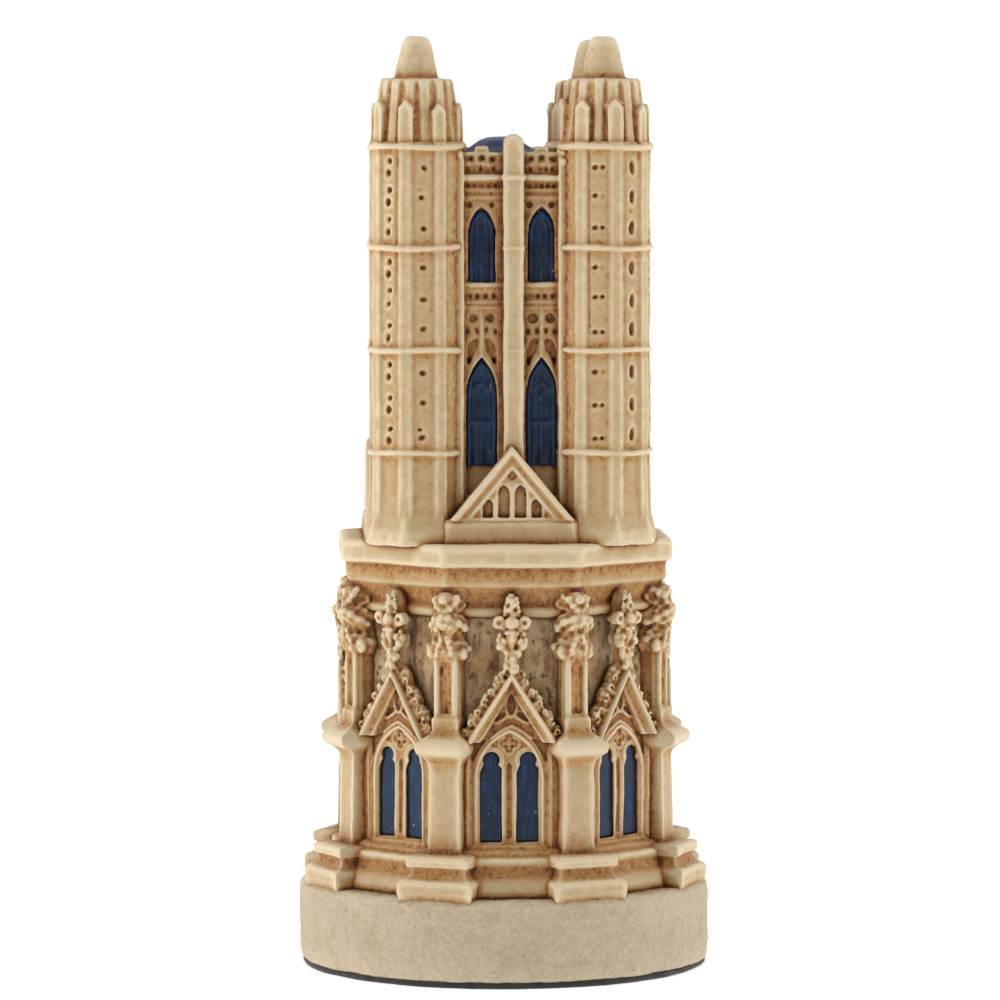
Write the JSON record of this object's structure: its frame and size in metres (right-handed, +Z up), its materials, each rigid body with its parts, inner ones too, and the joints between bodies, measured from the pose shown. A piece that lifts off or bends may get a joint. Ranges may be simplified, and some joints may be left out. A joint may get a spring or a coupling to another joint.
{
  "type": "souvenir church tower figure",
  "caption": "Standing cast souvenir figure of a Gothic church tower with corner turrets, on an eight-sided gabled storey and a round felted base.",
  "frame": {"origin": "centre of the felt's underside, on the surface that the figure stands on", "axes": "+Z up along the tower, -Y the front face, +X to the right of a viewer who looks at the front"},
  "size_m": [0.045, 0.045, 0.1015],
  "materials": {
    "resin": "matt ivory cast resin with a brown wash in the recesses",
    "stained_resin": "matt, pitted, grey-brown wash",
    "window_paint": "satin dark blue hobby paint",
    "roof_paint": "satin mid blue hobby paint",
    "felt": "dark grey felt"
  },
  "bodies": {
    "root": {"felt_pad": "felt", "base_drum": "resin", "plinth_course": "resin", "lower_core": "stained_resin", "cornice": "resin", "tower_podium": "resin", "tower_core": "resin", "roof": "roof_paint", "pier_1": "resin", "window_frame_1": "resin", "window_glass_1": "window_paint", "gable_1": "resin", "pier_2": "resin", "window_frame_2": "resin", "window_glass_2": "window_paint", "gable_2": "resin", "pier_3": "resin", "window_frame_3": "resin", "window_glass_3": "window_paint", "gable_3": "resin", "pier_4": "resin", "window_frame_4": "resin", "window_glass_4": "window_paint", "gable_4": "resin", "pier_5": "resin", "window_frame_5": "resin", "window_glass_5": "window_paint", "gable_5": "resin", "pier_6": "resin", "window_frame_6": "resin", "window_glass_6": "window_paint", "gable_6": "resin", "pier_7": "resin", "window_frame_7": "resin", "window_glass_7": "window_paint", "gable_7": "resin", "pier_8": "resin", "window_frame_8": "resin", "window_glass_8": "window_paint", "gable_8": "resin", "pediment_1": "resin", "tower_face_1": "resin", "tower_glass_1": "window_paint", "turret_1": "resin", "turret_cap_1": "resin", "pediment_2": "resin", "tower_face_2": "resin", "tower_glass_2": "window_paint", "turret_2": "resin", "turret_cap_2": "resin", "pediment_3": "resin", "tower_face_3": "resin", "tower_glass_3": "window_paint", "turret_3": "resin", "turret_cap_3": "resin", "pediment_4": "resin", "tower_face_4": "resin", "tower_glass_4": "window_paint", "turret_4": "resin", "turret_cap_4": "resin"}
  },
  "joints": []
}
